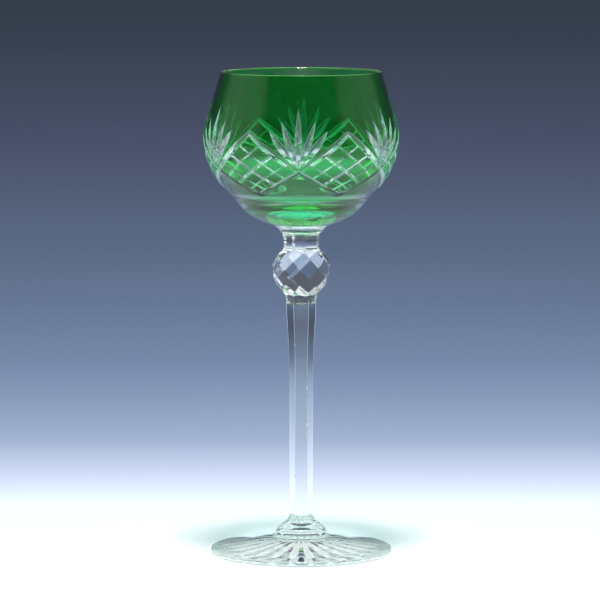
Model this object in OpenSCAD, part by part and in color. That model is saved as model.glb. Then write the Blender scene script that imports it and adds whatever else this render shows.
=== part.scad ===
/* [Bowl] */
// Radius of the mouth at the rim
rim_r = 33.1; // [30:0.1:35]
// Largest radius of the bowl
belly_r = 40.3; // [38:0.1:43]
// Height of the rim above the table
rim_z = 200; // [195:0.5:206]
// Thickness of the wall at the rim, green casing included
rim_wall = 1.5; // [1.2:0.1:2.2]
// Thickness of the wall at the belly, green casing included
belly_wall = 2.6; // [2:0.1:3.5]
// Height of the lowest point of the hollow above the table
hollow_z = 143.6; // [143:0.1:144.6]
// Thickness of the green casing
casing_t = 0.3; // [0.2:0.05:0.6]
// Height up to which green casing is left under the bowl
base_z = 140.8; // [140.2:0.1:141.3]

/* [Cut pattern] */
// Turn of the whole pattern about the axis, in degrees
pattern_turn = -1.7; // [-30:0.1:30]
// Height of the top corner of each lattice panel
apex_z = 177; // [174:0.5:180]
// Height where two long cuts cross below each fan
cross_z = 161; // [158:0.5:164]
// Height of the bottom corner of each lattice panel
low_z = 151.4; // [149:0.2:153]
// Width of the long curved cuts
long_w = 2.4; // [1.6:0.1:3]
// Width of the thin cuts of the lattice
lattice_w = 1.1; // [0.8:0.1:1.6]
// Width of the middle cuts of the lattice
lattice_mid_w = 1.8; // [1:0.1:2.4]
// Largest width of a ray of a fan
ray_w = 3; // [1.6:0.1:3.6]

/* [Stem] */
// Height of the seam between the bowl and the neck
bowl_seam_z = 137; // [136:0.1:138]
// Radius of the seam between the bowl and the neck
bowl_seam_r = 12.2; // [11.5:0.1:13]
// Radius of the neck over its edges
neck_r = 7.4; // [6.5:0.1:8]
// Height of the seam between the neck and the knop
neck_seam_z = 125.6; // [125:0.1:126]
// Radius of the knop over its widest corners
knop_r = 12; // [11:0.1:12.5]
// Height of the seam between the knop and the shaft
knop_seam_z = 105.8; // [105.2:0.1:106.4]
// Turn of the facets of the knop and neck, in degrees
knop_turn = 15.3; // [-22:0.1:22]
// Radius of the hexagonal shaft over its edges, at its top
shaft_top_r = 6.3; // [5.8:0.1:6.6]
// Radius of the hexagonal shaft over its edges, in its lower half
shaft_low_r = 4.9; // [4.5:0.1:5.2]
// Height of the seam between the shaft and the foot collar
shaft_seam_z = 15.6; // [14.5:0.1:17]

/* [Foot] */
// Radius of the foot
foot_r = 37.7; // [35:0.1:40]
// Thickness of the foot at its rim
foot_edge = 2.4; // [2:0.1:3]
// Height of the seat of the collar on the foot
seat_z = 8.2; // [7.6:0.1:8.8]
// Radius of the collar where it meets the foot
collar_r = 10.8; // [10:0.1:12]
// Number of rays in the star under the foot
star_n = 24; // [12:2:32]
// Outer radius of the star
star_r = 31; // [26:0.5:33]
// Greatest depth of the rays of the star
star_d = 1.5; // [0.6:0.1:1.8]

/* [Hidden] */
$fn = 96;

CLEAR = [0.80, 0.86, 0.88];
GREEN = [0.02, 0.42, 0.16];

// ---- outline of the bowl: radius and height of points down its side -------
function span(a, b, t) = a + (b - a) * t;
belly_z = 172.4;
// each row: share of the way from the belly radius to the radius at that end, height
upper_rows = [[0, 172.4], [0.07, 177.4], [0.25, 182.4], [0.46, 187.4],
              [0.68, 192.4], [0.89, 197.4], [1, 200]];
lower_rows = [[1, 137], [0.83, 138.6], [0.66, 141.4], [0.451, 147.3],
              [0.288, 152.4], [0.157, 157.4], [0.068, 162.4], [0.018, 167.4]];
side = concat(
    [for (p = lower_rows) [span(belly_r, bowl_seam_r, p[0]),
        bowl_seam_z + (p[1] - 137) * (belly_z - bowl_seam_z) / (belly_z - 137)]],
    [for (p = upper_rows) [span(belly_r, rim_r, p[0]),
        belly_z + (p[1] - belly_z) * (rim_z - belly_z) / (200 - belly_z)]]);

// smooth curve through a row of points
function clampi(i, n) = max(0, min(n - 1, i));
function cr(a, b, c, d, t) = 0.5 * ((2 * b) + (c - a) * t + (2 * a - 5 * b + 4 * c - d) * t * t
                                    + (3 * b - a - 3 * c + d) * t * t * t);
function smooth(p, k) = [for (i = [0 : len(p) - 2]) for (j = [0 : k - 1])
        cr(p[clampi(i - 1, len(p))], p[i], p[i + 1], p[clampi(i + 2, len(p))], j / k),
    p[len(p) - 1]];
outer = smooth(side, 2);

// radius of the outer surface at a height, and its outward normal (r, z)
function r_at(z) = lookup(z, [for (p = outer) [p[1], p[0]]]);
function slope(z) = (r_at(z + 0.8) - r_at(z - 0.8)) / 1.6;
function unit(v) = v / norm(v);
function nrm(z) = unit([1, -slope(z)]);
function spot(az, z) = [r_at(z) * sin(az), -r_at(z) * cos(az), z];
function out(az, z) = let (n = nrm(z)) [n[0] * sin(az), -n[0] * cos(az), n[1]];

// how thick the casing is at a height: it is ground away on the lower bowl
function casing_at(z) = casing_t * max(0, min(1, (z - 143) / 5));
function inset(p, d) = let (z = min(p[1], rim_z - 0.9), n = nrm(max(z, bowl_seam_z + 0.9)))
    [p[0] - n[0] * d, min(p[1] - (p[1] > rim_z - 2 ? 0 : n[1] * d), rim_z)];
core = [for (p = outer) p[1] < 143 ? p : inset(p, casing_at(p[1]))];
base = [for (p = outer) if (p[1] <= base_z) p];
base_in = [for (p = base) inset(p, casing_t)];
cased = [for (p = outer) if (p[1] >= 148) p];
cased_in = [for (p = outer) if (p[1] >= 148) inset(p, casing_t)];

// hollow of the bowl, from the middle of its floor to the rim
function wall_at(z) = z > belly_z ? span(belly_wall, rim_wall, (z - belly_z) / (rim_z - belly_z))
                                  : span(belly_wall, 4.4, min(1, (belly_z - z) / 20));
hollow_side = [for (p = outer) if (p[1] >= belly_z - 5.1) inset(p, wall_at(p[1]))];
hollow = concat(
    smooth([[0.01, hollow_z], [7, hollow_z + 0.5], [13, hollow_z + 1.2], [18.5, hollow_z + 2.8],
            [23.5, hollow_z + 5.6], [27, hollow_z + 9.2], [29.4, hollow_z + 13.4],
            [32, hollow_z + 17.4], [34.8, hollow_z + 21.4], hollow_side[0]], 2),
    [for (i = [1 : len(hollow_side) - 1]) hollow_side[i]]);

module turned(side_out, side_in) {
    rotate_extrude() polygon(concat(side_out, [for (i = [len(side_in) - 1 : -1 : 0]) side_in[i]]));
}

// ---- half spaces and cuts ---------------------------------------------------
// moves a shape to p with its X axis along x and its Z axis near z
module frame_at(p, x, z) {
    ux = unit(x);
    uy = unit(cross(z, ux));
    uz = cross(ux, uy);
    multmatrix([[ux[0], uy[0], uz[0], p[0]], [ux[1], uy[1], uz[1], p[1]],
                [ux[2], uy[2], uz[2], p[2]], [0, 0, 0, 1]]) children();
}

// the long cut that falls from left to right through the crossing in front
cut_a = spot(-30, apex_z);
cut_c = spot(0, cross_z);
cut_b = spot(30, low_z);

// everything above (1) or below (-1) that cut, moved up by a distance
module beside_cut(way, up) {
    frame_at(cut_c, cut_b - cut_a, cross(cut_c - cut_a, cut_b - cut_c))
        translate([-90, -90, way > 0 ? up : up - 120]) cube([180, 180, 120]);
}
module beside_falling(turn, way, up) { rotate([0, 0, turn]) beside_cut(way, up); }
module beside_rising(turn, way, up) { rotate([0, 0, turn]) mirror([1, 0, 0]) beside_cut(way, up); }

// straight slot through the casing from a to b
module slot(a, b, az, z, w) {
    frame_at((a + b) / 2, b - a, out(az, z)) cube([norm(b - a) + 12, w, 14], center = true);
}

// points along the four sides of the panel in front
function high_side(s, t) = spot(s * 30 * t, span(apex_z, cross_z, t));
function low_side(s, t) = spot(s * 30 * (1 - t), span(cross_z, low_z, t));

module lattice(s) {
    for (i = [1 : 3]) {
        a = high_side(-s, i / 4);
        b = low_side(s, i / 4);
        slot(a, b, s * (15 - 30 * i / 4), (a[2] + b[2]) / 2, i == 2 ? lattice_mid_w : lattice_w);
    }
}

// one pointed ray of a fan, cut through the casing
module ray(az, tip_z, w) {
    a = spot(az * 0.08, cross_z + 2.4);
    b = spot(az, tip_z);
    m = (a + b) / 2;
    len_ = norm(b - a);
    frame_at(m, b - a, out(az / 2, (cross_z + tip_z) / 2)) translate([0, 0, -7]) linear_extrude(14)
        polygon([[-len_ / 2, 0], [-len_ * 0.1, -w / 2], [len_ / 2, 0], [-len_ * 0.1, w / 2]]);
}
fan_rays = [[-17, 178, 0.9], [-10.3, 182, 0.95], [0, 187, 1], [10.3, 182, 0.95], [17, 178, 0.9]];

// ---- pieces -------------------------------------------------------------------
module casing() { turned(cased, cased_in); }

// green casing from the rim down to the long cuts, with the fans cut through it
module casing_field() {
    color(GREEN) rotate([0, 0, pattern_turn]) difference() {
        casing();
        for (k = [0 : 5]) rotate([0, 0, 60 * k]) {
            // roof shaped opening that each panel sits in
            intersection() {
                rotate([0, 0, -60.2]) rotate_extrude(angle = 60.4) translate([20, 140]) square([30, 60]);
                beside_falling(60, -1, long_w / 2);
                beside_rising(0, -1, long_w / 2);
            }
            for (f = fan_rays) ray(f[0], f[1], ray_w * f[2]);
        }
    }
}

// green casing left standing between the long cuts, cut into tiles
module lattice_panel(k) {
    color(GREEN) rotate([0, 0, pattern_turn + 30 + 60 * k]) difference() {
        intersection() {
            casing();
            rotate([0, 0, -120]) rotate_extrude(angle = 60) translate([20, 140]) square([30, 60]);
            beside_falling(30, -1, -long_w / 2);
            beside_rising(-30, -1, -long_w / 2);
            beside_falling(-30, 1, long_w / 2);
            beside_rising(30, 1, long_w / 2);
        }
        lattice(1);
        lattice(-1);
    }
}
module lattice_panel_1() { lattice_panel(0); }
module lattice_panel_2() { lattice_panel(1); }
module lattice_panel_3() { lattice_panel(2); }
module lattice_panel_4() { lattice_panel(3); }
module lattice_panel_5() { lattice_panel(4); }
module lattice_panel_6() { lattice_panel(5); }

// clear crystal body of the bowl, with a thick floor
module bowl() {
    color(CLEAR) rotate_extrude()
        polygon(concat([[0, base_in[0][1]]], base_in, [base[len(base) - 1]],
            [for (p = core) if (p[1] > base_z) p], [for (i = [len(hollow) - 1 : -1 : 1]) hollow[i]], [[0, hollow_z]]));
}

// green casing left under the bowl, where the neck is melted on
module casing_base() {
    color(GREEN) rotate_extrude()
        polygon(concat([[0, bowl_seam_z]], base, [for (i = [len(base_in) - 1 : -1 : 0]) base_in[i]],
            [[0, base_in[0][1]]]));
}

// everything inside a row of flat facets: distance from the axis at a height, lean, and
// how much deeper the front facet and the one opposite are cut
module facets(turn, r, z, lean, deep = 0) {
    intersection_for (k = [0 : 7]) rotate([0, 0, turn + k * 45])
        translate([r - (k % 4 == 0 ? deep : 0), 0, z]) rotate([0, atan(lean), 0])
            translate([-120, -60, -60]) cube([120, 120, 120]);
}

// round button under the bowl and the fluted neck below it
module neck() {
    color(CLEAR) {
        rotate_extrude() polygon([[0, 132.8], [neck_r + 0.35, 132.8], [8.2, 133.4], [9.1, 134.7], [10.3, 135.9],
            [bowl_seam_r, bowl_seam_z], [0, bowl_seam_z]]);
        rotate([0, 0, -90 + knop_turn]) rotate_extrude($fn = 8)
            polygon([[0, neck_seam_z], [neck_r + 1, neck_seam_z], [neck_r + 0.35, neck_seam_z + 1.2],
                     [neck_r + 0.02, neck_seam_z + 3], [neck_r + 0.05, 130.6], [neck_r + 0.28, 132.2],
                     [8.2, 133.4], [0, 133.4]]);
    }
}

// knop cut with three rows of diamond facets, on a low round ring
mid_z = 116;
row_z = 120.5;
low_row_z = 111.8;
end_z = 108.3;
half = 22.5;
row_x = knop_r * cos(half);
lean_mid = (knop_r - row_x) / (row_z - mid_z);
low_row_r = row_x - lean_mid * (mid_z - low_row_z);
lean_low = (knop_r - low_row_r * cos(half)) / (mid_z - low_row_z);
lean_top = 0.69;
end_r = low_row_r * cos(half) - lean_low * (low_row_z - end_z);
lean_end = (low_row_r - end_r * cos(half)) / (low_row_z - end_z);
module knop() {
    color(CLEAR) union() {
        rotate([0, 0, -90 + knop_turn]) intersection() {
            translate([0, 0, knop_seam_z]) cylinder(h = neck_seam_z - knop_seam_z, r = knop_r + 2);
            facets(half, knop_r, row_z, -lean_top);
            facets(0, knop_r, mid_z, -lean_mid, 0.3);
            facets(half, knop_r, row_z, lean_mid);
            facets(0, knop_r, mid_z, lean_low);
            facets(half, low_row_r, low_row_z, lean_end);
        }
        rotate_extrude() polygon([[0, knop_seam_z], [shaft_top_r - 0.1, knop_seam_z],
            [shaft_top_r + 0.15, knop_seam_z + 0.5], [shaft_top_r + 0.3, knop_seam_z + 1.3],
            [shaft_top_r + 0.2, knop_seam_z + 2.2], [shaft_top_r - 0.6, knop_seam_z + 3], [0, knop_seam_z + 3]]);
    }
}

// hexagonal shaft, slightly waisted, widest under the knop
module shaft() {
    color(CLEAR) rotate_extrude($fn = 6)
        polygon(concat([[0, shaft_seam_z]],
            smooth([[shaft_low_r, shaft_seam_z], [shaft_low_r, 35], [shaft_low_r + 0.08, 57],
                    [shaft_low_r + 0.2, 78], [span(shaft_low_r, shaft_top_r, 0.57), 92],
                    [shaft_top_r, 103.6], [shaft_top_r, knop_seam_z]], 3),
            [[0, knop_seam_z]]));
}

// flared collar that joins the shaft to the foot
module foot_collar() {
    color(CLEAR) rotate_extrude() polygon(concat([[0, seat_z]],
        smooth([[collar_r, seat_z], [collar_r - 0.25, seat_z + 1], [9.25, 11], [7.2, 12.5],
                [5.75, 13.8], [5.1, 15], [shaft_low_r + 0.03, shaft_seam_z]], 3), [[0, shaft_seam_z]]));
}

// one V shaped ray of the star, deepest towards its outer end
module star_ray() {
    mid = star_r * 0.72;
    for (e = [[5, mid], [star_r, mid]]) {
        run = abs(e[0] - e[1]);
        translate([0, e[1], star_d]) rotate([e[0] > e[1] ? -atan(star_d / run) : atan(star_d / run), 0, 0])
            rotate([90, 0, 0]) translate([0, 0, e[0] > e[1] ? -run * 1.02 : 0]) linear_extrude(run * 1.02)
                polygon([[0, 0], [-4, -3.6], [4, -3.6]]);
    }
}

// foot with a rounded rim, a raised seat and a star cut into its underside
module foot() {
    color(CLEAR) difference() {
        rotate_extrude() polygon(concat([[0, 0]],
            [for (a = [-90 : 22.5 : 90]) [foot_r - 1.1 + 1.1 * cos(a), a < 0 ? 1.1 + 1.1 * sin(a) : foot_edge - 1.1 + 1.1 * sin(a)]],
            smooth([[foot_r - 4, foot_edge + 0.42], [30, 3.35], [22, 4.75], [16, 6.15], [collar_r + 0.6, seat_z - 0.5]], 2),
            [[collar_r, seat_z], [0, seat_z]]));
        for (k = [0 : star_n - 1]) rotate([0, 0, (k + 0.5) * 360 / star_n]) star_ray();
    }
}

foot();
foot_collar();
shaft();
knop();
neck();
bowl();
casing_base();
casing_field();
lattice_panel_1();
lattice_panel_2();
lattice_panel_3();
lattice_panel_4();
lattice_panel_5();
lattice_panel_6();
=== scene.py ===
import math

import bmesh
import bpy
import numpy as np
from mathutils import Matrix, Vector
from mathutils.kdtree import KDTree


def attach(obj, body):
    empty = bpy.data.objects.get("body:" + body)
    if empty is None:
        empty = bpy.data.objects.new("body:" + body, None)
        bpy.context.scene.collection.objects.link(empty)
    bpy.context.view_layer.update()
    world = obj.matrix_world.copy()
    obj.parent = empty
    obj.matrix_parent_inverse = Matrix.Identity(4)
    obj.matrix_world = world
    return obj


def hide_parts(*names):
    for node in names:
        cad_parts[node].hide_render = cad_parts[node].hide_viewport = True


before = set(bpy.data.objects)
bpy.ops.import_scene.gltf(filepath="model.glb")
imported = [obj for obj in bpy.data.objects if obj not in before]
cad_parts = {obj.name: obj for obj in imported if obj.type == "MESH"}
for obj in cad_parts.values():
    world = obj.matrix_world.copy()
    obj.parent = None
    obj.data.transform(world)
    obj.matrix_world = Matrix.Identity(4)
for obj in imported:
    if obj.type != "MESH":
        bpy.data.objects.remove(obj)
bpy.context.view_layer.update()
scene = bpy.context.scene
MM = 0.001

# ------------------------------------------------------------------ sizes, mm
RIM_R, BELLY_R, RIM_Z, BELLY_Z = 33.1, 40.3, 200.0, 172.4
SEAM_R, SEAM_Z = 12.2, 137.0
CASING = 0.3
RIM_WALL, BELLY_WALL, FLOOR_WALL = 1.5, 2.6, 4.4
HOLLOW_Z = 143.6
TURN = -1.7
APEX_Z, CROSS_Z, LOW_Z = 177.0, 161.0, 151.4
BASE_Z = 140.8
NECK_R, NECK_Z = 7.4, 125.6
KNOP_R, KNOP_Z, KNOP_TURN, SIDES = 12.0, 105.8, 15.3, 8
SHAFT_TOP, SHAFT_LOW, SHAFT_Z = 6.3, 4.9, 15.6
FOOT_R, FOOT_EDGE, SEAT_Z, COLLAR_R = 37.7, 2.4, 8.2, 10.8
STAR_N, STAR_R, STAR_D = 24, 31.0, 1.5
TURNS = 360


# ------------------------------------------------------------------ curves
class Curve:
    """Smooth natural cubic spline through points in (r, z)."""

    def __init__(self, pts):
        p = np.array(pts, float)
        t = np.concatenate([[0], np.cumsum(np.linalg.norm(np.diff(p, axis=0), axis=1))])
        n = len(p)
        a = np.zeros((n, n))
        b = np.zeros((n, 2))
        a[0, 0] = a[-1, -1] = 1
        h = np.diff(t)
        for i in range(1, n - 1):
            a[i, i - 1 : i + 2] = h[i - 1], 2 * (h[i - 1] + h[i]), h[i]
            b[i] = 6 * ((p[i + 1] - p[i]) / h[i] - (p[i] - p[i - 1]) / h[i - 1])
        self.p, self.t, self.h, self.m = p, t, h, np.linalg.solve(a, b)
        self.len = t[-1]

    def at(self, t):
        t = np.clip(np.asarray(t, float), 0, self.len)
        i = np.clip(np.searchsorted(self.t, t) - 1, 0, len(self.h) - 1)
        h = self.h[i][..., None]
        u = ((self.t[i + 1] - t)[..., None]) / h
        v = ((t - self.t[i])[..., None]) / h
        m0, m1 = self.m[i], self.m[i + 1]
        return u * self.p[i] + v * self.p[i + 1] + ((u**3 - u) * m0 + (v**3 - v) * m1) * h * h / 6

    def normal(self, t):
        """Unit normal to the right of the direction of travel."""
        e = 0.02
        d = self.at(np.minimum(t + e, self.len)) - self.at(np.maximum(t - e, 0))
        d /= np.linalg.norm(d, axis=-1, keepdims=True)
        return np.stack([d[..., 1], -d[..., 0]], -1)

    def row(self, n):
        t = np.linspace(0, self.len, n)
        return self.at(t), self.normal(t)


def span(a, b, t):
    return a + (b - a) * t


outer_pts = [
    (span(BELLY_R, SEAM_R, s), z)
    for s, z in ((1, 137), (0.83, 138.6), (0.66, 141.4), (0.451, 147.3), (0.288, 152.4), (0.157, 157.4), (0.068, 162.4), (0.018, 167.4))
] + [
    (span(BELLY_R, RIM_R, s), z)
    for s, z in ((0, 172.4), (0.07, 177.4), (0.25, 182.4), (0.46, 187.4), (0.68, 192.4), (0.89, 197.4), (0.995, 199.9))
]
OUTER = Curve(outer_pts)
_t = np.linspace(0, OUTER.len, 4000)
_op, _on = OUTER.at(_t), OUTER.normal(_t)


def r_at(z):
    return np.interp(z, _op[:, 1], _op[:, 0])


def n_at(z):
    n = np.stack([np.interp(z, _op[:, 1], _on[:, 0]), np.interp(z, _op[:, 1], _on[:, 1])], -1)
    return n / np.linalg.norm(n, axis=-1, keepdims=True)


def spot(az, z):
    a, r = np.radians(az), r_at(z)
    return np.stack([r * np.sin(a), -r * np.cos(a), z], -1)


def out(az, z):
    a, n = np.radians(az), n_at(z)
    return np.stack([n[..., 0] * np.sin(a), -n[..., 0] * np.cos(a), n[..., 1]], -1)


# ------------------------------------------------------------------ meshes
def make(name, verts, faces, mats, index=None):
    me = bpy.data.meshes.new(name)
    me.from_pydata([tuple(v) for v in np.asarray(verts) * MM], [], faces)
    for m in mats:
        me.materials.append(m)
    if index is not None:
        me.polygons.foreach_set("material_index", np.asarray(index, np.int32))
    me.polygons.foreach_set("use_smooth", np.ones(len(me.polygons), bool))
    me.update()
    o = bpy.data.objects.new(name, me)
    scene.collection.objects.link(o)
    return o


def revolve(name, prof, tags, mats, turns=TURNS):
    """Closed solid of revolution. prof is a loop of (r, z); tags[i] is the material of the band from i to i + 1."""
    ang = np.arange(turns) * 2 * math.pi / turns - math.pi / 2
    verts, ring = [], []
    for r, z in prof:
        if r < 1e-6:
            ring.append([len(verts)] * turns)
            verts.append((0, 0, z))
        else:
            ring.append(list(range(len(verts), len(verts) + turns)))
            verts += [(r * c, r * s, z) for c, s in zip(np.cos(ang), np.sin(ang))]
    faces, index = [], []
    for i in range(len(prof)):
        j = (i + 1) % len(prof)
        a, b = ring[i], ring[j]
        if prof[i][0] < 1e-6 and prof[j][0] < 1e-6:
            continue
        for k in range(turns):
            l = (k + 1) % turns
            f = [a[k], a[l], b[l], b[k]]
            f = [v for n, v in enumerate(f) if v not in f[:n]]
            faces.append(f)
            index.append(tags[i])
    return make(name, verts, faces, mats, index)


def join(objs, name):
    """One mesh out of several that don't touch."""
    bm = bmesh.new()
    for o in objs:
        bm.from_mesh(o.data)
    bmesh.ops.recalc_face_normals(bm, faces=bm.faces)
    me = bpy.data.meshes.new(name)
    bm.to_mesh(me)
    bm.free()
    for m in objs[0].data.materials:
        me.materials.append(m)
    for o in objs:
        old = o.data
        bpy.data.objects.remove(o)
        bpy.data.meshes.remove(old)
    o = bpy.data.objects.new(name, me)
    scene.collection.objects.link(o)
    return o


def apply_modifiers(o):
    dg = bpy.context.evaluated_depsgraph_get()
    me = bpy.data.meshes.new_from_object(o.evaluated_get(dg), depsgraph=dg)
    old = o.data
    o.modifiers.clear()
    o.data = me
    bpy.data.meshes.remove(old)


def carve(o, cutters):
    for c in cutters:
        m = o.modifiers.new("cut", "BOOLEAN")
        m.operation, m.solver, m.object, m.material_mode = "DIFFERENCE", "MANIFOLD", c, "INDEX"
    apply_modifiers(o)


def drop(objs):
    for o in objs:
        old = o.data
        bpy.data.objects.remove(o)
        bpy.data.meshes.remove(old)


def finish_normals(o, smooth_tags, curves, angle=24):
    """Sharp edges by angle, and true normals from the turned curves on the faces with those tags."""
    me = o.data
    me.polygons.foreach_set("use_smooth", np.ones(len(me.polygons), bool))
    me.set_sharp_from_angle(angle=math.radians(angle))
    pts, nrm = [], []
    for c in curves:
        p, n = c.row(3000)
        pts.append(p)
        nrm.append(n)
    pts, nrm = np.concatenate(pts), np.concatenate(nrm)
    tree = KDTree(len(pts))
    for i, p in enumerate(pts):
        tree.insert((p[0], p[1], 0), i)
    tree.balance()
    co = np.zeros(len(me.vertices) * 3)
    me.vertices.foreach_get("co", co)
    co = co.reshape(-1, 3) / MM
    rad = np.hypot(co[:, 0], co[:, 1])
    vn = np.zeros((len(co), 3))
    dist = np.zeros(len(co))
    for i in range(len(co)):
        _, k, d = tree.find((rad[i], co[i, 2], 0))
        n = nrm[k]
        if rad[i] > 1e-4:
            vn[i] = n[0] * co[i, 0] / rad[i], n[0] * co[i, 1] / rad[i], n[1]
        else:
            vn[i] = 0, 0, math.copysign(1, n[1])
        dist[i] = d
    li = np.zeros(len(me.loops), np.int32)
    me.loops.foreach_get("vertex_index", li)
    tag = np.zeros(len(me.polygons), np.int32)
    me.polygons.foreach_get("material_index", tag)
    tot = np.zeros(len(me.polygons), np.int32)
    me.polygons.foreach_get("loop_total", tot)
    fn = np.zeros(len(me.polygons) * 3)
    me.polygons.foreach_get("normal", fn)
    fn = fn.reshape(-1, 3)
    lf = np.repeat(np.arange(len(tot)), tot)
    ln = vn[li]
    flip = np.einsum("ij,ij->i", ln, fn[lf])
    ln = ln * np.sign(flip)[:, None]
    keep = np.isin(tag[lf], smooth_tags) & (dist[li] < 0.05) & (np.abs(flip) > 0.6)
    ln[~keep] = 0
    me.normals_split_custom_set([tuple(v) for v in ln])
    me.update()


def wedge(name, az, z, depth, half, mats, tag, rise=0.7):
    """V-shaped cutter along a path of (az, z) on the outer surface: depth in mm and half angle in degrees at each point.

    tag is the material of its walls, or a pair: left wall and right wall, seen along the path from outside."""
    p, n = spot(az, z), out(az, z)
    t = np.gradient(p, axis=0)
    t /= np.linalg.norm(t, axis=1, keepdims=True)
    b = np.cross(n, t)
    b /= np.linalg.norm(b, axis=1, keepdims=True)
    w = ((depth + rise) * np.tan(np.radians(half)))[:, None]
    low = p - n * depth[:, None]
    a, c = p + n * rise + b * w, p + n * rise - b * w
    k = len(p)
    verts = np.concatenate([low, a, c])
    faces = []
    for i in range(k - 1):
        faces += [[i, i + 1, k + i + 1, k + i], [k + i, k + i + 1, 2 * k + i + 1, 2 * k + i], [2 * k + i, 2 * k + i + 1, i + 1, i]]
    faces += [[0, k, 2 * k], [k - 1, 3 * k - 1, 2 * k - 1]]
    left, right = tag if isinstance(tag, tuple) else (tag, tag)
    return make(name, verts, faces, mats, [left, left, right] * (k - 1) + [left, right])


def lens(t, peak, power):
    k = math.log(0.5) / math.log(peak)
    return np.sin(math.pi * np.clip(t, 0, 1) ** k) ** power


# ------------------------------------------------------------------ materials
def new_material(name):
    m = bpy.data.materials.new(name)
    m.use_nodes = True
    nt = m.node_tree
    nt.nodes.clear()
    o = nt.nodes.new("ShaderNodeOutputMaterial")
    return m, nt, o


def glass(name, colour, rough, ior=1.53, through=1.0, wave=0.0, wave_scale=60.0, grain=0.0, grain_scale=900.0, rough_var=0.0, shade=None, edge=None, turn=(0.36, 0.6)):
    """Glass that lets light through: colour tints what passes, with slight waves of hand work and fine grain in the surface."""
    m, nt, o = new_material(name)
    b = nt.nodes.new("ShaderNodeBsdfPrincipled")
    b.inputs["Base Color"].default_value = (*colour, 1)
    b.inputs["Roughness"].default_value = rough
    b.inputs["IOR"].default_value = ior
    b.inputs["Transmission Weight"].default_value = through
    if edge:
        # painted shade: colour seen square on, which fades to another, darker colour where the surface is seen along it
        ew = nt.nodes.new("ShaderNodeLayerWeight")
        ew.inputs["Blend"].default_value = 0.5
        er = nt.nodes.new("ShaderNodeValToRGB")
        er.color_ramp.elements[0].position, er.color_ramp.elements[0].color = turn[0], (*colour, 1)
        er.color_ramp.elements[1].position, er.color_ramp.elements[1].color = turn[1], (*edge, 1)
        nt.links.new(ew.outputs["Facing"], er.inputs[0])
        nt.links.new(er.outputs[0], b.inputs["Base Color"])
    if shade:
        # the shadow of glass is light that has been tinted
        # and least where it passes square through the glass
        tr = nt.nodes.new("ShaderNodeBsdfTransparent")
        lw = nt.nodes.new("ShaderNodeLayerWeight")
        lw.inputs["Blend"].default_value = 0.5
        cr = nt.nodes.new("ShaderNodeValToRGB")
        cr.color_ramp.elements[0].position, cr.color_ramp.elements[0].color = 0.12, (0.93, 1.0, 0.98, 1)
        cr.color_ramp.elements[1].position, cr.color_ramp.elements[1].color = 0.34, (*shade, 1)
        nt.links.new(lw.outputs["Facing"], cr.inputs[0])
        nt.links.new(cr.outputs[0], tr.inputs["Color"])
        lp = nt.nodes.new("ShaderNodeLightPath")
        mx = nt.nodes.new("ShaderNodeMixShader")
        nt.links.new(lp.outputs["Is Shadow Ray"], mx.inputs[0])
        nt.links.new(b.outputs[0], mx.inputs[1])
        nt.links.new(tr.outputs[0], mx.inputs[2])
        nt.links.new(mx.outputs[0], o.inputs["Surface"])
    else:
        nt.links.new(b.outputs[0], o.inputs["Surface"])
    tc = nt.nodes.new("ShaderNodeTexCoord")
    last = None
    for strength, scale, dist in ((wave, wave_scale, 0.0004), (grain, grain_scale, 0.00006)):
        if strength:
            nz = nt.nodes.new("ShaderNodeTexNoise")
            nz.inputs["Scale"].default_value = scale
            nz.inputs["Detail"].default_value = 1.5
            nt.links.new(tc.outputs["Object"], nz.inputs["Vector"])
            bp = nt.nodes.new("ShaderNodeBump")
            bp.inputs["Strength"].default_value = strength
            bp.inputs["Distance"].default_value = dist
            nt.links.new(nz.outputs["Fac"], bp.inputs["Height"])
            if last:
                nt.links.new(last.outputs[0], bp.inputs["Normal"])
            last = bp
    if last:
        nt.links.new(last.outputs[0], b.inputs["Normal"])
    if rough_var:
        nz = nt.nodes.new("ShaderNodeTexNoise")
        nz.inputs["Scale"].default_value = 220
        nz.inputs["Detail"].default_value = 4
        nt.links.new(tc.outputs["Object"], nz.inputs["Vector"])
        mr = nt.nodes.new("ShaderNodeMapRange")
        mr.inputs["From Min"].default_value, mr.inputs["From Max"].default_value = 0.3, 0.7
        mr.inputs["To Min"].default_value, mr.inputs["To Max"].default_value = max(0, rough - rough_var), rough + rough_var
        nt.links.new(nz.outputs["Fac"], mr.inputs["Value"])
        nt.links.new(mr.outputs[0], b.inputs["Roughness"])
    return m


def seam(name):
    """Where two pieces of glass are melted into one: light goes straight on."""
    m, nt, o = new_material(name)
    b = nt.nodes.new("ShaderNodeBsdfTransparent")
    nt.links.new(b.outputs[0], o.inputs["Surface"])
    return m


SHADE_CLEAR, SHADE_GREEN = (0.58, 0.70, 0.68), (0.5, 0.72, 0.62)
M_CLEAR = glass("clear_crystal", (0.965, 0.99, 0.985), 0.0, wave=0.006, shade=SHADE_CLEAR)
M_GREEN = glass("green_casing", (0.001, 0.40, 0.014), 0.0, wave=0.03, shade=SHADE_GREEN)
M_GREEN_CUT = glass("green_casing_cut_edge", (0.55, 0.95, 0.75), 0.14, through=0.75, shade=SHADE_GREEN)
M_CUT = glass("wheel_cut_clear", (0.76, 0.88, 0.82), 0.08, through=0.92, grain=0.12, rough_var=0.04, shade=SHADE_CLEAR)
M_POLISH = glass("wheel_cut_polished", (0.93, 0.97, 0.96), 0.06, through=0.93, grain=0.12, rough_var=0.03, shade=SHADE_CLEAR)
M_LIP = glass("green_lip", (0.35, 0.62, 0.08), 0.0, shade=SHADE_GREEN)
# matt wheel cut, whitish square on; its edge colour is painted shade, near black where the cut is seen along its
# surface
M_SWAG = glass("wheel_cut_matt", (0.86, 0.93, 0.91), 0.22, through=0.84, grain=0.15, rough_var=0.06, shade=SHADE_CLEAR, edge=(0.16, 0.17, 0.19), turn=(0.58, 0.7))
# the glass's own tint, deepened by a painted green cast standing in for the green light the bowl throws onto the foot
M_FOOT = glass("clear_crystal_foot_painted_green_light", (0.90, 0.985, 0.96), 0.0, wave=0.006, shade=SHADE_CLEAR)
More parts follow.
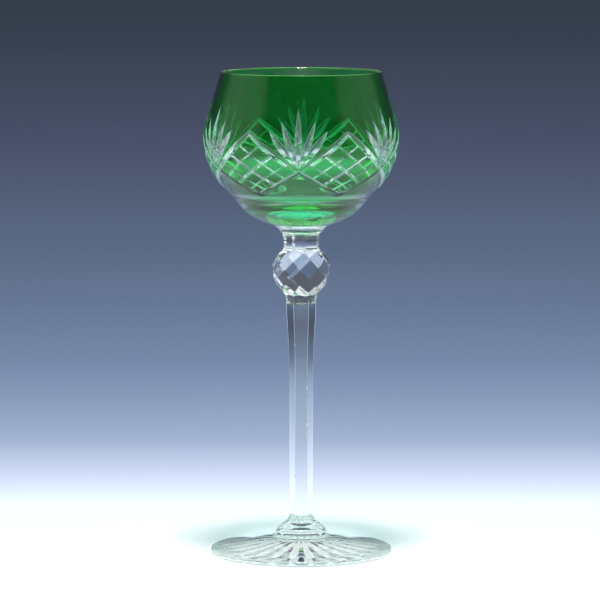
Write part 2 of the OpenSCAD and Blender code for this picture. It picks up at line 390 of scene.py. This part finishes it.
# painted reflection: clear glass tinted green for the mirrored green in the bare triangles, with painted shade where
# seen along the surface
M_LOW = glass("clear_crystal_painted_green_reflection", (0.05, 0.80, 0.13), 0.0, wave=0.006, shade=SHADE_CLEAR, edge=(0.13, 0.15, 0.15))
# painted shade: bare clear glass that turns near black where seen along its surface
M_SIDE = glass("clear_crystal_painted_edge_shade", (0.965, 0.99, 0.985), 0.0, wave=0.006, shade=SHADE_CLEAR, edge=(0.11, 0.12, 0.13), turn=(0.40, 0.54))
M_STAR = glass("star_cut_matt", (0.97, 1.0, 0.99), 0.12, through=0.36, grain=0.1, rough_var=0.05, shade=SHADE_CLEAR)
M_EDGE = glass("rubbed_edge", (0.96, 0.98, 1.0), 0.25, through=0.6, grain=0.1, rough_var=0.05, shade=SHADE_CLEAR)
# painted shade: a near black matt cut standing in for the dark surroundings mirrored in these cut walls
M_PAINTED_SHADE_CUT = glass("wheel_cut_matt_painted_shade", (0.10, 0.11, 0.12), 0.18, through=0.84, grain=0.15, rough_var=0.06, shade=SHADE_CLEAR)
M_SEAM = seam("fused_seam")
M_JOIN = glass("neck_join", (1.0, 1.0, 1.0), 0.0, ior=2.4)
M_BASE = glass("green_casing_fused", (0.004, 0.85, 0.16), 0.0, ior=1.0, shade=SHADE_GREEN)
MATS = [M_GREEN, M_SEAM, M_CLEAR, M_CUT, M_GREEN_CUT, M_BASE, M_JOIN, M_POLISH, M_LIP, M_SWAG, M_FOOT, M_LOW, M_SIDE, M_PAINTED_SHADE_CUT, M_STAR, M_EDGE]
T_GREEN, T_SEAM, T_CLEAR, T_CUT, T_GCUT, T_BASE, T_JOIN, T_POL, T_LIP, T_SWAG, T_FOOT, T_LOW, T_SIDE, T_PAINTED_SHADE_CUT, T_STAR, T_EDGE = range(16)

# ------------------------------------------------------------------ bowl
N_OUT = 84
o_all, n_all = OUTER.row(N_OUT)


def casing_at(z):
    return CASING * np.clip((z - 143) / 5, 0, 1)


core_side = o_all - n_all * casing_at(o_all[:, 1])[:, None]
CORE = Curve(core_side[::2] if len(core_side) % 2 else np.concatenate([core_side[:-1:2], core_side[-1:]]))


def wall_at(z):
    return np.where(z > BELLY_Z, span(BELLY_WALL, RIM_WALL, (z - BELLY_Z) / (RIM_Z - BELLY_Z)), span(BELLY_WALL, FLOOR_WALL, np.clip((BELLY_Z - z) / 20, 0, 1)))


zs = np.array([155.5, 159.5, 164, 169, 174, 179, 184, 189, 194, 199.2])
hollow_side = np.stack([r_at(zs), zs], 1) - n_at(zs) * wall_at(zs)[:, None]
hollow_side[-1] = r_at(199.2) - RIM_WALL, 199.25
HOLLOW = Curve([(0, HOLLOW_Z), (7, HOLLOW_Z + 0.5), (13, HOLLOW_Z + 1.2), (18.5, HOLLOW_Z + 2.8), (23.5, HOLLOW_Z + 5.6), (27, HOLLOW_Z + 9.2),
                (29.4, HOLLOW_Z + 13.4), (32, HOLLOW_Z + 17.4), (34.8, HOLLOW_Z + 21.4)] + [tuple(p) for p in hollow_side if p[1] > 168])

# the lip: a half round between the outside and the hollow
lip_r = RIM_WALL / 2
lip_c = (float(r_at(199.25)) - lip_r, 199.25)
split = math.acos((lip_r - CASING) / lip_r)


def lip(a0, a1, n):
    a = np.linspace(a0, a1, n)
    return np.stack([lip_c[0] + lip_r * np.cos(a), lip_c[1] + lip_r * np.sin(a)], 1)


top = o_all[:, 1] < 199.1
h_row, _ = HOLLOW.row(64)
b_z = np.linspace(SEAM_Z, BASE_Z, 12)
b_out = np.stack([r_at(b_z), b_z], 1)
b_in = b_out - n_at(b_z) * CASING
b_in[0] = SEAM_R - 0.2, SEAM_Z + CASING
b_in[1:-1, 1] = np.maximum(b_in[1:-1, 1], SEAM_Z + CASING + 0.002 * np.arange(1, 11))
above = top & (o_all[:, 1] > BASE_Z + 0.1)
core_prof = np.concatenate([[[0, SEAM_Z + CASING]], b_in, b_out[-1:], core_side[above], lip(split, math.pi, 9), h_row[::-1][1:]])
core_tags = [T_SEAM] * (len(b_in) + 1) + [T_SEAM] * int(above.sum() + 1) + [T_LIP] * 8 + [T_CLEAR] * 65
core_tags = core_tags[: len(core_prof)]
bowl = revolve("bowl_crystal", core_prof, core_tags, MATS)

sel = (o_all[:, 1] > 149.0) & top
c_out, c_in = o_all[sel], core_side[sel]
case_prof = np.concatenate([c_out, lip(0, split, 5), c_in[::-1]])
case_tags = [T_GREEN] * (len(c_out) + 4) + [T_SEAM] * (len(c_in)) + [T_GREEN]
case_tags = case_tags[: len(case_prof) - 1] + [T_GCUT]
casing = revolve("casing", case_prof, case_tags, MATS)

# the green that stays under the bowl, where the neck is melted on
b_top = b_in - np.array([0.02, 0.03])
base_prof = np.concatenate([[[0, SEAM_Z]], b_out, b_top[::-1], [[0, SEAM_Z + CASING - 0.03]]])
base_tags = [T_SEAM] + [T_GREEN] * (len(b_out) - 1) + [T_GREEN] + [T_BASE] * len(b_in) + [T_SEAM]
casing_base = revolve("casing_base_glass", base_prof, base_tags[: len(base_prof)], MATS)

# ------------------------------------------------------------------ cuts
cuts = {}


def cut(group, az, z, depth, half, tag=T_CUT):
    for k in range(6):
        cuts.setdefault(group, []).append(
            wedge("cut", TURN + 60 * k + az, z, depth, half, MATS, tag)
        )


def long_z(a):
    """Height of the long falling cut at an angle from its crossing."""
    c = (APEX_Z + LOW_Z - 2 * CROSS_Z) / 1800
    b = (LOW_Z - APEX_Z) / 60
    return CROSS_Z + b * a + c * a * a


N = 41
t = np.linspace(0, 1, N)
for s, name in ((1, "fall"), (-1, "rise")):
    # upper half: pointed at the apex, narrow again at the crossing
    a = span(-30.6, 2.5, t)
    cut(name + "_upper", s * a, long_z(a), 0.34 + 0.85 * lens(t, 0.33, 0.8), np.full(N, 50.0))
    # lower half: even width down to the bottom corner; one wall is painted shade (near black), the other the matt cut
    a = span(-1.2, 24, t)
    cut(name + "_lower", s * a, long_z(a), 0.52 + 0.28 * np.sin(math.pi * t**0.7), np.full(N, 62.0), (T_SWAG, T_PAINTED_SHADE_CUT)[::s])
    # deeper towards that corner, with both walls painted shade (near black)
    a = span(16, 31.2, t)
    cut(name + "_corner", s * a, long_z(a) - 0.45 * np.sqrt(t), 0.4 + 0.68 * lens(t, 0.6, 0.5), np.full(N, 60.0), T_PAINTED_SHADE_CUT)
    # lattice
    for i in (1, 2, 3):
        f = i / 4
        # from the upper left side of the panel to its lower right side, seen from the panel's middle
        start = (-30 * f, long_z(-30 + 30 * f))
        end = (30 * (1 - f), long_z(30 * f))
        a = span(start[0], end[0], t)
        bow = 0.25 * (APEX_Z + LOW_Z - 2 * CROSS_Z) / 4
        z = span(start[1], end[1], t) - bow * 4 * t * (1 - t)
        d = 0.62 if i == 2 else 0.42
        cut(name + "_lattice", s * a + 30, z, np.full(N, d), np.full(N, 52.0 if i == 2 else 46.0), T_POL)

for i, (az_tip, z_tip, d, peak) in enumerate(((0, 187.0, 1.15, 0.42), (-10.3, 182.2, 1.15, 0.42), (10.3, 182.2, 1.15, 0.42), (-17.2, 178.0, 1.2, 0.55), (17.2, 178.0, 1.2, 0.55))):
    a = span(0.05 * az_tip, az_tip, t)
    z = span(162.6, z_tip, t)
    cut("ray%d" % i, a, z, d * lens(t, peak, 0.9) - 0.02, np.full(N, 54.0))

cutters = [join(v, "cutter_" + k) for k, v in cuts.items()]
carve(bowl, cutters)
carve(casing, cutters)
drop(cutters)

# bare glass below the long cuts, and the surface under the casing melted to it
def covered(az, z):
    """Is a place on the outside under the casing?"""
    a = (az - TURN + 30) % 60 - 30
    lower = np.maximum(long_z(np.abs(a)), -1)
    return z > lower - 0.2


def centres(me):
    c = np.zeros(len(me.polygons) * 3)
    me.polygons.foreach_get("center", c)
    c = c.reshape(-1, 3) / MM
    return np.degrees(np.arctan2(c[:, 0], -c[:, 1])), c[:, 2], c


def tags_of(me):
    t_ = np.zeros(len(me.polygons), np.int32)
    me.polygons.foreach_get("material_index", t_)
    return t_


az_, z_, c_ = centres(bowl.data)
tg = tags_of(bowl.data)
bare = (tg == T_SEAM) & ~covered(az_, z_) & (np.hypot(c_[:, 0], c_[:, 1]) > r_at(z_) - 1.2) & (z_ > BASE_Z - 0.01)
# the bare glass below the cuts gets clear glass with painted shade at its grazing edge
tg[bare] = T_SIDE
# painted reflection: the triangles under the crossings get a green tint standing in for the mirrored green of the floor
# that fills them
tg[bare & (z_ > LOW_Z - 2.1)] = T_LOW
bowl.data.polygons.foreach_set("material_index", tg)
finish_normals(bowl, [T_SEAM, T_CLEAR, T_LOW, T_SIDE], [CORE, HOLLOW])

tg = tags_of(casing.data)
tg[np.isin(tg, [T_CUT, T_POL, T_SWAG, T_PAINTED_SHADE_CUT])] = T_GCUT
casing.data.polygons.foreach_set("material_index", tg)

# take the casing apart into the field, the tiles and what is ground away below
bm = bmesh.new()
bm.from_mesh(casing.data)
bm.faces.ensure_lookup_table()
seen = np.zeros(len(bm.faces), bool)
groups = {"casing_field": []}
for f in bm.faces:
    if seen[f.index]:
        continue
    part, todo = [], [f]
    seen[f.index] = True
    while todo:
        g = todo.pop()
        part.append(g)
        for e in g.edges:
            for h in e.link_faces:
                if not seen[h.index]:
                    seen[h.index] = True
                    todo.append(h)
    v = np.array([tuple(x.co) for x in {v for g in part for v in g.verts}]) / MM
    az, z = np.degrees(np.arctan2(v[:, 0].mean(), -v[:, 1].mean())), v[:, 2]
    if z.max() > 195:
        groups["casing_field"] += part
        continue
    if z.min() < 150:
        continue
    m_az, m_z = az, z.mean()
    if not covered(np.array(m_az), np.array(m_z)):
        continue
    a = (m_az - TURN) % 360
    fan = (a + 30) % 60 - 30
    if m_z > long_z(-abs(fan)) - 0.3:
        groups["casing_field"] += part
    else:
        groups.setdefault("lattice_panel_%d" % (int(a // 60) + 1), []).extend(part)
pieces = {}
for name, part in groups.items():
    vs = {}
    faces, index, verts = [], [], []
    for f in part:
        row = []
        for v in f.verts:
            if v.index not in vs:
                vs[v.index] = len(verts)
                verts.append(tuple(v.co / MM))
            row.append(vs[v.index])
        faces.append(row)
        index.append(f.material_index)
    pieces[name] = make(name + "_glass", verts, faces, MATS, index)
    finish_normals(pieces[name], [T_GREEN, T_SEAM], [OUTER, CORE])
bm.free()
drop([casing])
pieces["bowl"] = bowl
finish_normals(casing_base, [T_GREEN], [OUTER])
pieces["casing_base"] = casing_base

# ------------------------------------------------------------------ stem
def faceted(name, z, big, flat, sides, turn, mats, tags, per=13, edge=0.0):
    """Round body of radius big(z) with flat sides ground on it, each flat(z) from the axis, and edges rubbed down over some degrees."""
    half = math.pi / sides
    row = np.linspace(-half, half, per)[:-1]
    if edge:
        e = math.radians(edge)
        row = np.concatenate([[-half], np.linspace(-half + e, half - e, per)])
    m = len(row)
    d = np.concatenate([row] * sides)
    th = np.concatenate([np.full(m, 2 * half * k) for k in range(sides)]) + d + math.radians(turn) - math.pi / 2
    verts = []
    for zz in z:
        r = np.minimum(big(zz), flat(zz) / np.cos(d))
        verts += [(a, b, zz) for a, b in zip(r * np.cos(th), r * np.sin(th))]
    n, k = len(th), len(z)
    faces, index = [], []
    for i in range(k - 1):
        for j in range(n):
            l = (j + 1) % n
            faces.append([i * n + j, i * n + l, (i + 1) * n + l, (i + 1) * n + j])
            index.append(T_EDGE if edge and j % m in (0, m - 1) else T_CLEAR)
    verts += [(0, 0, z[0]), (0, 0, z[-1])]
    for j in range(n):
        l = (j + 1) % n
        faces.append([n * k, l, j])
        faces.append([n * k + 1, (k - 1) * n + j, (k - 1) * n + l])
        index += [T_SEAM, T_SEAM]
    return make(name, verts, faces, mats, index)


NECK = Curve([(NECK_R + 1.0, 125.6), (NECK_R + 0.35, 126.8), (NECK_R + 0.02, 128.6), (NECK_R + 0.05, 130.6), (NECK_R + 0.28, 132.2), (8.2, 133.4), (9.1, 134.7), (10.3, 135.9), (SEAM_R, SEAM_Z)])
np_row = NECK.at(np.linspace(0, NECK.len, 400))


def neck_big(z):
    return np.interp(z, np_row[:, 1], np_row[:, 0])


def neck_flat(z):
    # a flute: the wheel runs out at its upper end
    return 6.86 + 0.05 * max(0, z - 130.0) ** 2 + 0.11 * max(0, 128.6 - z) ** 2 + (max(0, z - 133.4) * 3.0)


half = 180 / SIDES
z = np.concatenate([np.linspace(125.6, 131, 28), np.linspace(131.1, 135, 48), np.linspace(135.1, SEAM_Z, 14)])
pieces["neck"] = faceted("neck_crystal", z, neck_big, neck_flat, SIDES, KNOP_TURN + half, MATS, None)
tg = tags_of(pieces["neck"].data)
tg[(tg == T_SEAM) & (centres(pieces["neck"].data)[1] > SEAM_Z - 0.1)] = T_JOIN
pieces["neck"].data.polygons.foreach_set("material_index", tg)
finish_normals(pieces["neck"], [], [NECK], 20)

row_z, mid_z, low_row_z, end_z = 120.5, 116.0, 111.8, 108.3
half = 180 / SIDES
c_half = math.cos(math.radians(half))
row_x = KNOP_R * c_half
lean_mid = (KNOP_R - row_x) / (row_z - mid_z)
low_row_r = row_x - lean_mid * (mid_z - low_row_z)
lean_low = (KNOP_R - low_row_r * c_half) / (mid_z - low_row_z)
lean_top = 0.69
end_r = low_row_r * c_half - lean_low * (low_row_z - end_z)
lean_end = (low_row_r - end_r * c_half) / (low_row_z - end_z)
planes = []
for turn, r, z0, lean in ((half, KNOP_R, row_z, -lean_top), (0, KNOP_R, mid_z, -lean_mid), (half, KNOP_R, row_z, lean_mid), (0, KNOP_R, mid_z, lean_low), (half, low_row_r, low_row_z, lean_end)):
    for k in range(SIDES):
        a = math.radians(turn + k * 360 / SIDES - 90 + KNOP_TURN)
        n = Vector((math.cos(a), math.sin(a), -lean)).normalized()
        # the facet that faces the front, and the one opposite, are cut a little deeper
        deep = 0.3 if (turn, z0, k % 4) == (0, mid_z, 0) and lean < 0 else 0
        planes.append((Vector(((r - deep) * math.cos(a), (r - deep) * math.sin(a), z0)), n))
planes += [(Vector((0, 0, NECK_Z)), Vector((0, 0, 1))), (Vector((0, 0, KNOP_Z)), Vector((0, 0, -1)))]
# the corners of the body that all these planes bound
nn = np.array([tuple(n) for _, n in planes])
dd = np.array([n.dot(co) for co, n in planes])
i, j, k = (v.ravel() for v in np.meshgrid(*[np.arange(len(nn))] * 3, indexing="ij"))
pick = (i < j) & (j < k)
i, j, k = i[pick], j[pick], k[pick]
mat = np.stack([nn[i], nn[j], nn[k]], 1)
ok = np.abs(np.linalg.det(mat)) > 1e-6
pts = np.linalg.solve(mat[ok], np.stack([dd[i], dd[j], dd[k]], 1)[ok][..., None])[..., 0]
pts = pts[(pts @ nn.T <= dd + 1e-6).all(1)]
corners = []
for q in pts:
    if all(np.linalg.norm(q - w) > 0.02 for w in corners):
        corners.append(q)
bm = bmesh.new()
for q in corners:
    bm.verts.new(tuple(q))
bmesh.ops.convex_hull(bm, input=bm.verts)
bmesh.ops.dissolve_limit(bm, angle_limit=0.004, verts=bm.verts, edges=bm.edges)
bmesh.ops.recalc_face_normals(bm, faces=bm.faces)
for f in bm.faces:
    f.material_index = T_SEAM if abs(f.normal.z) > 0.99 else T_CLEAR
    f.smooth = False
edges = [e for e in bm.edges if all(f.material_index == T_CLEAR for f in e.link_faces)]
bmesh.ops.bevel(bm, geom=edges, offset=0.09, segments=1, profile=0.5, affect="EDGES", material=T_CLEAR)
me = bpy.data.meshes.new("knop_crystal")
bmesh.ops.scale(bm, vec=(MM, MM, MM), verts=bm.verts)
bm.to_mesh(me)
bm.free()
for m in MATS:
    me.materials.append(m)
pieces["knop"] = bpy.data.objects.new("knop_crystal", me)
scene.collection.objects.link(pieces["knop"])
ring_prof = [(0, KNOP_Z), (SHAFT_TOP - 0.1, KNOP_Z), (SHAFT_TOP + 0.15, KNOP_Z + 0.5), (SHAFT_TOP + 0.3, KNOP_Z + 1.3), (SHAFT_TOP + 0.2, KNOP_Z + 2.2), (SHAFT_TOP - 0.6, KNOP_Z + 3.0), (0, KNOP_Z + 3.0)]
ring = join([revolve("knop_ring", ring_prof, [T_SEAM] + [T_CLEAR] * 6, MATS, 96)], "knop_ring")
join_with = pieces["knop"].modifiers.new("ring", "BOOLEAN")
join_with.operation, join_with.solver, join_with.object, join_with.material_mode = "UNION", "MANIFOLD", ring, "INDEX"
apply_modifiers(pieces["knop"])
drop([ring])
pieces["knop"].data.polygons.foreach_set("use_smooth", np.ones(len(pieces["knop"].data.polygons), bool))
pieces["knop"].data.set_sharp_from_angle(angle=math.radians(9))

SHAFT = Curve([(SHAFT_LOW, SHAFT_Z), (SHAFT_LOW, 35), (SHAFT_LOW + 0.08, 57), (SHAFT_LOW + 0.2, 78), (span(SHAFT_LOW, SHAFT_TOP, 0.57), 92), (SHAFT_TOP, 103.6), (SHAFT_TOP, KNOP_Z)])
sh = SHAFT.at(np.linspace(0, SHAFT.len, 600))


def shaft_flat(z):
    return np.interp(z, sh[:, 1], sh[:, 0]) * math.cos(math.pi / 6) + max(0, z - 103.9) ** 2 * 0.4


def shaft_big(z):
    return np.interp(z, sh[:, 1], sh[:, 0]) - 0.12


z = np.concatenate([np.linspace(SHAFT_Z, 100, 70), np.linspace(100.1, KNOP_Z, 48)])
pieces["shaft"] = faceted("shaft_crystal", z, shaft_big, shaft_flat, 6, 0, MATS, None, per=15, edge=1.5)
finish_normals(pieces["shaft"], [], [SHAFT], 20)

COLLAR = Curve([(COLLAR_R, SEAT_Z), (COLLAR_R - 0.25, SEAT_Z + 1.0), (9.25, 11.0), (7.2, 12.5), (5.75, 13.8), (5.1, 15.0), (SHAFT_LOW + 0.03, SHAFT_Z)])
c_row, _ = COLLAR.row(48)
prof = np.concatenate([[[0, SEAT_Z]], c_row, [[0, SHAFT_Z]]])
pieces["foot_collar"] = revolve("foot_collar_crystal", prof, [T_SEAM] + [T_FOOT] * 47 + [T_SEAM] * 3, MATS, 128)
finish_normals(pieces["foot_collar"], [T_FOOT], [COLLAR])

# ------------------------------------------------------------------ foot
edge = 1.1
rim = [(FOOT_R - edge + edge * math.cos(a), (edge if a < 0 else FOOT_EDGE - edge) + edge * math.sin(a)) for a in np.radians(np.linspace(-90, 78, 15))]
FOOT_TOP = Curve([rim[-1], (FOOT_R - 4, FOOT_EDGE + 0.42), (30, 3.35), (22, 4.75), (16, 6.15), (COLLAR_R + 0.6, SEAT_Z - 0.5), (COLLAR_R, SEAT_Z)])
f_row, _ = FOOT_TOP.row(40)
under = [(r, 0.0) for r in (8, 16, 24, 31, 34)]
prof = np.concatenate([[[0, 0]], under, rim, f_row[1:], [[0, SEAT_Z]]])
tags = [T_CLEAR] * (len(prof) - 2) + [T_SEAM, T_SEAM]
foot = revolve("foot_crystal", prof, tags, MATS, 192)


def star_ray(k, n=25):
    u = np.linspace(0, 1, n)
    r = span(2.0, STAR_R, u)
    d = STAR_D * np.where(u < 0.74, u / 0.74, np.sqrt(np.clip(1 - ((u - 0.74) / 0.26) ** 2, 0, 1)))
    d[0] = d[-1] = -0.02
    a = math.radians((k + 0.5) * 360 / STAR_N)
    e, s = np.array([math.sin(a), -math.cos(a), 0]), np.array([math.cos(a), math.sin(a), 0])
    w = (d + 0.6) * math.tan(math.radians(51))
    low = e * r[:, None] + np.array([0, 0, 1]) * d[:, None]
    p = e * r[:, None] - np.array([0, 0, 0.6])
    return np.concatenate([low, p + s * w[:, None], p - s * w[:, None]]), n


stars = []
for k in range(STAR_N):
    v, n = star_ray(k)
    fc = []
    for i in range(n - 1):
        fc += [[i + 1, i, n + i, n + i + 1], [n + i + 1, n + i, 2 * n + i, 2 * n + i + 1], [2 * n + i + 1, 2 * n + i, i, i + 1]]
    fc += [[0, 2 * n, n], [n - 1, 2 * n - 1, 3 * n - 1]]
    stars.append(make("star", v, fc, MATS, [T_CUT] * len(fc)))
stars = [join([o], "star_cutter") for o in stars]
carve(foot, stars)
drop(stars)
tg = tags_of(foot.data)
tg[tg == T_CLEAR] = T_FOOT
tg[tg == T_CUT] = T_STAR
foot.data.polygons.foreach_set("material_index", tg)
finish_normals(foot, [T_FOOT], [FOOT_TOP], 20)
pieces["foot"] = foot

for node, o in pieces.items():
    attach(o, "root")
    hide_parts(node)
    o.visible_shadow = node.startswith(("casing", "lattice", "bowl"))
    o.visible_diffuse = False

# ------------------------------------------------------------------ floor and light
def ramp(nt, stops, interp="LINEAR"):
    r = nt.nodes.new("ShaderNodeValToRGB")
    r.color_ramp.interpolation = interp
    el = r.color_ramp.elements
    while len(el) < len(stops):
        el.new(0.5)
    for e, (p, c) in zip(el, stops):
        e.position = p
        e.color = (*c, 1)
    return r


m, nt, o = new_material("floor_painted_light_falloff")
d = nt.nodes.new("ShaderNodeBsdfDiffuse")
tc = nt.nodes.new("ShaderNodeTexCoord")
xyz = nt.nodes.new("ShaderNodeSeparateXYZ")
nt.links.new(tc.outputs["Object"], xyz.inputs[0])


def calc(op, a, b=None, clamp=False):
    """A maths node; a and b are sockets or numbers."""
    n = nt.nodes.new("ShaderNodeMath")
    n.operation, n.use_clamp = op, clamp
    for i, v in enumerate((a, b)):
        if isinstance(v, (int, float)):
            n.inputs[i].default_value = v
        elif v is not None:
            nt.links.new(v, n.inputs[i])
    return n.outputs[0]


# painted light and shade: floor colour by distance behind the object, nearly white close to it, darkest at middle
# distance and lighter again far back, standing in for how light falls on a backdrop
painted_falloff = [(0.0, (0.809, 0.880, 0.890)), (0.12, (0.760, 0.862, 0.890)), (0.195, (0.573, 0.636, 0.807)), (0.324, (0.316, 0.390, 0.542)), (0.473, (0.235, 0.309, 0.453)), (0.64, (0.191, 0.254, 0.394)), (0.954, (0.178, 0.244, 0.383)), (1.36, (0.207, 0.280, 0.426)), (1.91, (0.252, 0.309, 0.472)), (2.72, (0.315, 0.372, 0.547)), (3.98, (0.444, 0.511, 0.623)), (6.25, (0.540, 0.611, 0.631))]
cr = ramp(nt, [((r / 9) ** 0.5, c) for r, c in painted_falloff])
depth = calc("POWER", calc("DIVIDE", calc("MAXIMUM", xyz.outputs["Y"], 0.0), 9.0), 0.5)
nt.links.new(depth, cr.inputs[0])
# painted shade: darker to the sides, outside the strip that the camera sees
aside = calc("SUBTRACT", calc("ABSOLUTE", xyz.outputs["X"]), calc("MULTIPLY", calc("MAXIMUM", xyz.outputs["Y"], 0.0), 0.085))
side = nt.nodes.new("ShaderNodeMapRange")
side.interpolation_type = "SMOOTHSTEP"
side.inputs["From Min"].default_value, side.inputs["From Max"].default_value = 0.27, 0.62
side.inputs["To Min"].default_value, side.inputs["To Max"].default_value = 1.0, 0.8
nt.links.new(aside, side.inputs["Value"])
mul = nt.nodes.new("ShaderNodeMix")
mul.data_type, mul.blend_type = "RGBA", "MULTIPLY"
mul.inputs["Factor"].default_value = 1.0
nt.links.new(cr.outputs[0], mul.inputs["A"])
nt.links.new(side.outputs[0], mul.inputs["B"])
nt.links.new(mul.outputs["Result"], d.inputs["Color"])
nt.links.new(d.outputs[0], o.inputs["Surface"])
ang = np.arange(96) * 2 * math.pi / 96
verts, faces = [(0, 0, 0)], []
radii = [0.05, 0.1, 0.2, 0.4, 0.8, 1.6, 3.2, 9.0]
for r in radii:
    verts += [(r * math.cos(a), r * math.sin(a), 0) for a in ang]
for k in range(96):
    l = (k + 1) % 96
    faces.append((0, 1 + k, 1 + l))
    for i in range(len(radii) - 1):
        faces.append((1 + i * 96 + k, 1 + (i + 1) * 96 + k, 1 + (i + 1) * 96 + l, 1 + i * 96 + l))
me = bpy.data.meshes.new("floor")
me.from_pydata(verts, [], faces)
me.materials.append(m)
floor = bpy.data.objects.new("floor", me)
floor.location.z = -0.00005
scene.collection.objects.link(floor)


def board(name, side, az, colour, glow, radius=1.25, low=0.02, high=1.25, top_fade=0.35):
    """Large soft white board, curved round the object; glow is a list of (share along it, strength)."""
    m, nt, o = new_material(name)
    e = nt.nodes.new("ShaderNodeEmission")
    e.inputs["Color"].default_value = (*colour, 1)
    at = nt.nodes.new("ShaderNodeAttribute")
    at.attribute_name = "glow"
    nt.links.new(at.outputs["Fac"], e.inputs["Strength"])
    nt.links.new(e.outputs[0], o.inputs["Surface"])
    n, k = 48, 16
    u, v = np.meshgrid(np.linspace(0, 1, n), np.linspace(0, 1, k))
    th = np.radians(span(az[0], az[1], u))
    if radius:
        co = np.stack([side * radius * np.sin(th), -radius * np.cos(th), span(low, high, v)], -1).reshape(-1, 3)
        fade = np.clip((1 - v) / top_fade, 0, 1) * np.clip(v / 0.06, 0, 1)
    else:
        co = np.stack([(0.01 + 1.3 * v) * np.sin(th), -(0.01 + 1.3 * v) * np.cos(th), 1.75 + 0 * v], -1).reshape(-1, 3)
        fade = np.clip((1 - v) / 0.5, 0, 1)
    f = np.interp(u, [g[0] for g in glow], [g[1] for g in glow]) * fade
    faces = [(j * n + i, j * n + i + 1, (j + 1) * n + i + 1, (j + 1) * n + i) for j in range(k - 1) for i in range(n - 1)]
    me = bpy.data.meshes.new(name)
    me.from_pydata([tuple(c) for c in co], [], faces)
    me.attributes.new("glow", "FLOAT", "POINT").data.foreach_set("value", f.reshape(-1).astype(np.float32))
    me.materials.append(m)
    ob = bpy.data.objects.new(name, me)
    ob.visible_camera = False
    ob.visible_shadow = False
    scene.collection.objects.link(ob)
    return ob


board("board_left", -1, (44, 126), (0.90, 0.93, 1.0), [(0, 0), (0.15, 0.58), (0.6, 0.66), (0.85, 0.42), (1, 0.1)])
board("board_right", 1, (44, 126), (0.90, 0.93, 1.0), [(0, 0), (0.15, 0.46), (0.6, 0.58), (0.85, 0.38), (1, 0.1)])


def area(name, at, look, size, power, colour):
    l = bpy.data.lights.new(name, "AREA")
    l.shape = "SQUARE"
    l.size, l.energy, l.color = size, power, colour
    ob = bpy.data.objects.new(name, l)
    ob.location = at
    ob.rotation_mode = "QUATERNION"
    ob.rotation_quaternion = (Vector(look) - Vector(at)).to_track_quat("-Z", "Y")
    ob.visible_camera = False
    scene.collection.objects.link(ob)
    return ob


lamp = area("overhead", (0.0, -0.35, 1.7), (0, 0, 0), 0.22, 26, (1.0, 1.0, 0.99))
lamp.visible_transmission = False
board("board_back", 1, (138, 222), (0.97, 0.98, 1.0), [(0, 0), (0.2, 0.9), (0.8, 0.9), (1, 0)], low=0.75, high=2.0)
board("ceiling", 1, (0, 360), (0.97, 0.98, 1.0), [(0, 1.3), (1, 1.3)], radius=None)

w = bpy.data.worlds.new("studio")
scene.world = w
w.use_nodes = True
nt = w.node_tree
bg = nt.nodes["Background"]
bg.inputs["Color"].default_value = (0.055, 0.066, 0.10, 1)
bg.inputs["Strength"].default_value = 1.0

scene.view_settings.view_transform = "Standard"
scene.view_settings.look = "None"
scene.cycles.max_bounces = 24
scene.cycles.transmission_bounces = 24
scene.cycles.glossy_bounces = 12
scene.cycles.diffuse_bounces = 3
scene.cycles.transparent_max_bounces = 48
scene.cycles.sample_clamp_indirect = 6.0
scene.cycles.blur_glossy = 0.2
scene.cycles.caustics_refractive = False
scene.cycles.caustics_reflective = False

# ------------------------------------------------------------------ camera
cam = bpy.data.cameras.new("camera")
cam.lens, cam.sensor_width = 244.5, 36.0
cam.clip_start, cam.clip_end = 0.05, 50
eye = bpy.data.objects.new("camera", cam)
eye.location = (-0.0005, -1.674, 0.2906)
eye.rotation_euler = (math.radians(90 - 6.31), 0, 0)
scene.collection.objects.link(eye)
scene.camera = eye
